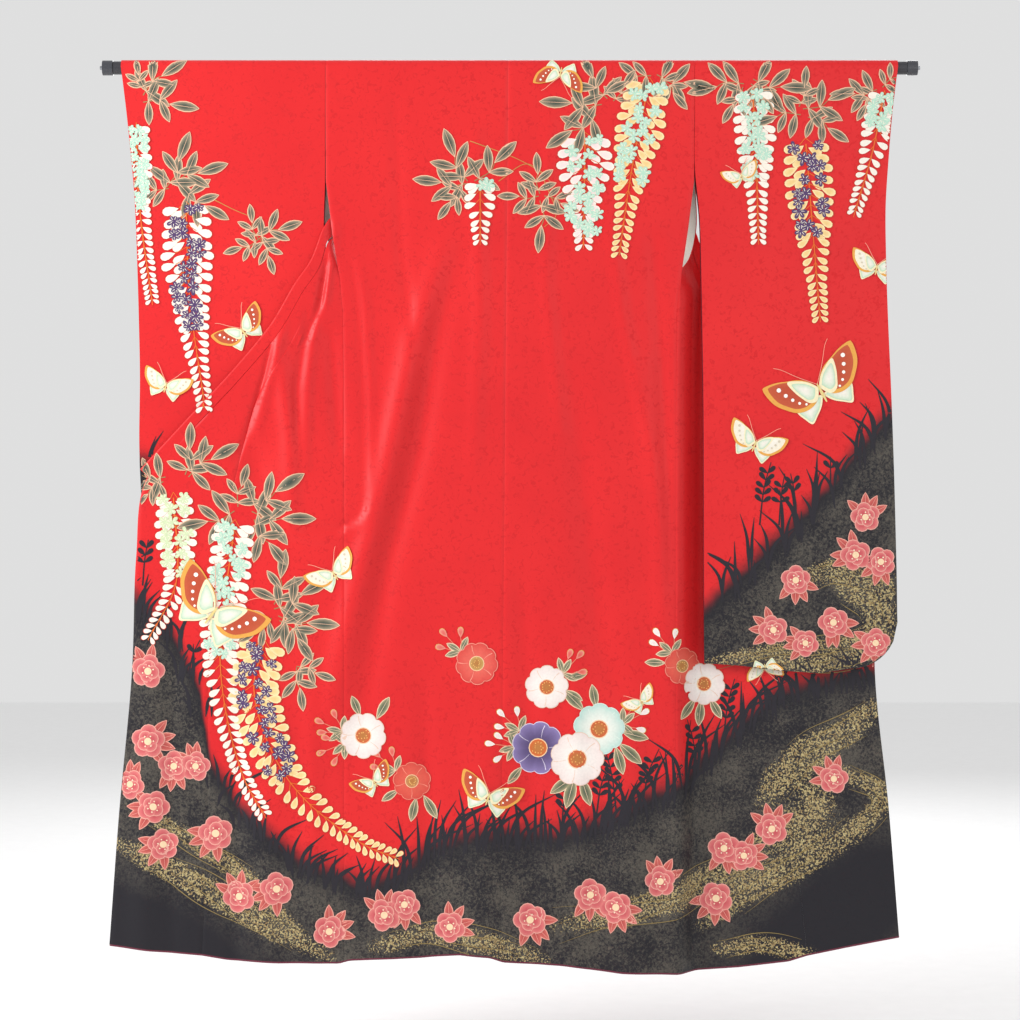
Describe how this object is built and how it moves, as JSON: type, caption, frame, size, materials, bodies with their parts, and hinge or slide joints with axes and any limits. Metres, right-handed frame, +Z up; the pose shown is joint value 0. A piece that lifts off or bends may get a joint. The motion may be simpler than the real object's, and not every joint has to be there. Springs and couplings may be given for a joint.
{
  "type": "furisode on hanging rod",
  "caption": "Long-sleeved silk kimono hung by its sleeves on a straight rod, back towards the viewer, with one front spread out before its sleeve",
  "frame": {"origin": "The middle of the rod's axis, where the rod holds the garment", "axes": "+Z up, the garment's length; +X along the rod, to the right of somebody who looks at the garment's back; +Y away from them, towards the garment's open front"},
  "size_m": [1.4346, 0.0579, 1.5957],
  "materials": {
    "body_silk": "satin",
    "overlap_silk": "satin",
    "collar_silk": "satin",
    "sleeve_silk": "satin",
    "rod_finish": "satin",
    "cap_finish": "gloss",
    "pin_metal": "satin"
  },
  "bodies": {
    "root": {"body_left": "body_silk", "body_right": "body_silk", "overlap_left": "overlap_silk", "overlap_right": "overlap_silk", "collar": "collar_silk", "sleeve_left": "sleeve_silk", "sleeve_right": "sleeve_silk", "rod": "rod_finish", "rod_cap_left": "cap_finish", "rod_cap_right": "cap_finish", "rod_pin_left": "pin_metal", "rod_pin_right": "pin_metal"}
  },
  "joints": []
}
